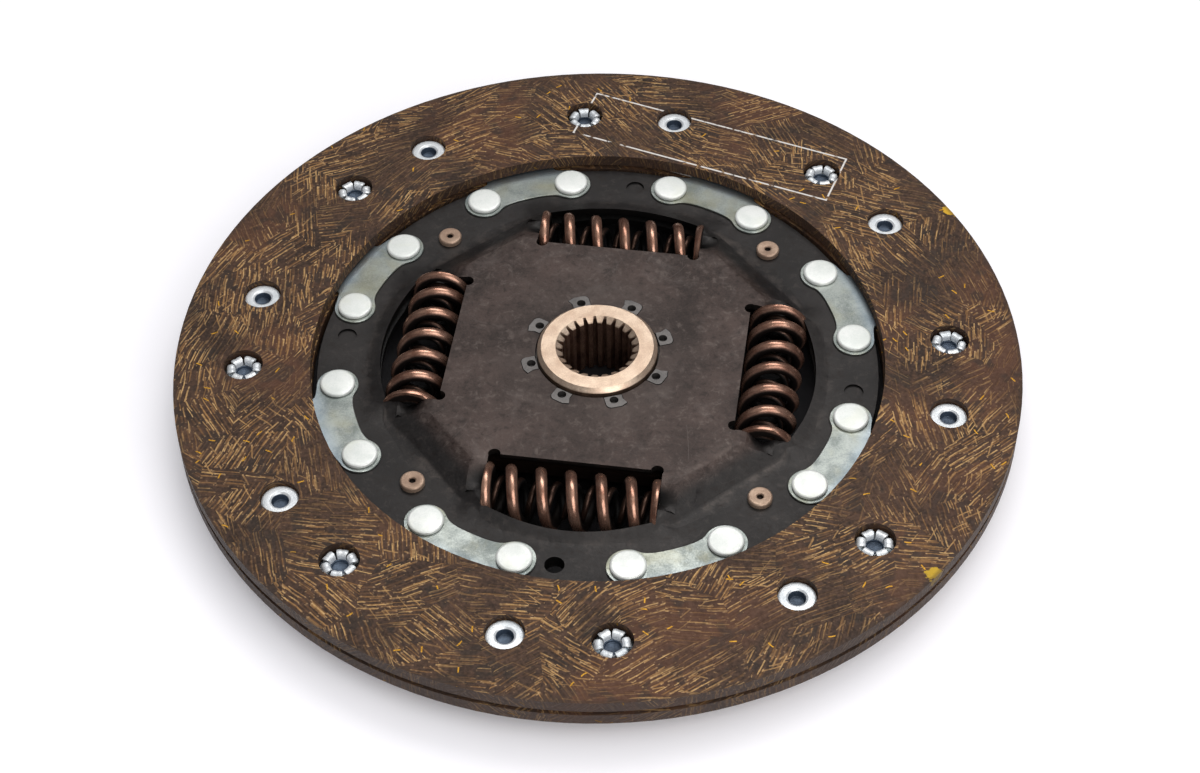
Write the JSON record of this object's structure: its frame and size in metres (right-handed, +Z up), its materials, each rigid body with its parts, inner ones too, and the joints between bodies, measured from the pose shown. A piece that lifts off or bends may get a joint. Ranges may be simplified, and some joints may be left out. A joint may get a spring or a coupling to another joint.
{
  "type": "clutch disc",
  "caption": "Automotive clutch disc: riveted friction facings on waved cushion segments, pressed plates with sprung windows and a splined hub that twists against the springs.",
  "frame": {"origin": "on the hub's axis, at the plane of the hub's lower end, on which the disc stands", "axes": "+Z up along the hub's axis, from the flywheel side to the pressure plate side; one damper window is centred 81.2 degrees from +X towards +Y"},
  "size_m": [0.228, 0.228, 0.0205],
  "materials": {
    "lining": "matte",
    "zinc_plated_sheet": "satin",
    "zinc_plated_rivet": "satin",
    "phosphated_plate": "satin",
    "moulded_ring": "satin",
    "hub_steel": "satin",
    "blank_steel": "satin",
    "spring_wire": "gloss",
    "inner_spring_wire": "gloss",
    "coppered_rivet": "satin"
  },
  "bodies": {
    "disc": {"facing_upper": "lining", "facing_lower": "lining", "cushion_segment_1": "zinc_plated_sheet", "cushion_segment_2": "zinc_plated_sheet", "cushion_segment_3": "zinc_plated_sheet", "cushion_segment_4": "zinc_plated_sheet", "cushion_segment_5": "zinc_plated_sheet", "cushion_segment_6": "zinc_plated_sheet", "cushion_segment_7": "zinc_plated_sheet", "cushion_segment_8": "zinc_plated_sheet", "drive_plate": "phosphated_plate", "counter_plate": "phosphated_plate", "guide_ring": "moulded_ring", "friction_washer": "moulded_ring", "support_washer": "blank_steel", "disc_spring": "blank_steel", "counter_bush": "moulded_ring", "outer_spring_1": "spring_wire", "inner_spring_1": "inner_spring_wire", "outer_spring_2": "spring_wire", "inner_spring_2": "inner_spring_wire", "outer_spring_3": "spring_wire", "inner_spring_3": "inner_spring_wire", "outer_spring_4": "spring_wire", "inner_spring_4": "inner_spring_wire", "facing_rivets_upper": "zinc_plated_rivet", "facing_rivets_lower": "zinc_plated_rivet", "segment_rivets": "zinc_plated_rivet", "plate_rivets": "coppered_rivet"},
    "hub": {"hub": "hub_steel"}
  },
  "joints": [
    {"name": "hub_twist", "type": "hinge", "parent": "disc", "child": "hub", "pos_m": [0, 0, 0.011], "axis": [0, 0, 1], "range_deg": [-6, 10], "stiffness_Nm_per_rad": 6, "deforming": ["outer_spring_1", "inner_spring_1", "outer_spring_2", "inner_spring_2", "outer_spring_3", "inner_spring_3", "outer_spring_4", "inner_spring_4"]}
  ]
}
